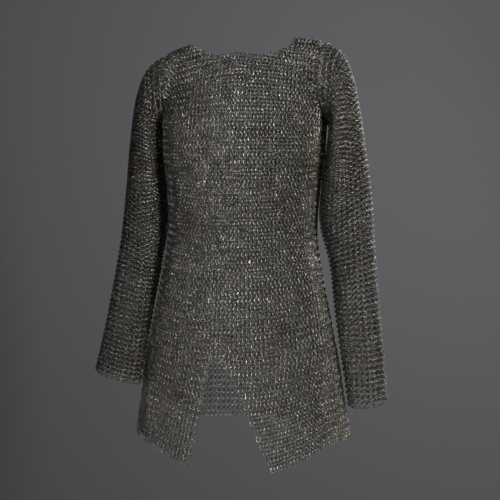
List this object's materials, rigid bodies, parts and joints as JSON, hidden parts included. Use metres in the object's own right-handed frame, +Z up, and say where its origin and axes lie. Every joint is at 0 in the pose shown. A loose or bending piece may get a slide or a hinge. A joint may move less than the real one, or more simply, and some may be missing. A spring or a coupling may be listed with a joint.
{
  "type": "chainmail hauberk, held in its worn shape",
  "caption": "Long-sleeved chainmail hauberk with a wide neck and a front vent, hollow, in the shape it takes when worn.",
  "frame": {"origin": "middle of the neck opening, level with the top of the shoulders, where the wearer's shoulders carry the shirt", "axes": "+Z up along the wearer's back, +X towards the wearer's left, -Y the way the wearer faces"},
  "size_m": [0.605, 0.2926, 0.8705],
  "materials": {
    "blackened_mail": "blackened and oiled butted steel wire rings, worn bright on their crowns"
  },
  "bodies": {
    "root": {"front": "blackened_mail", "back": "blackened_mail", "sleeve_left": "blackened_mail", "sleeve_right": "blackened_mail"}
  },
  "joints": []
}
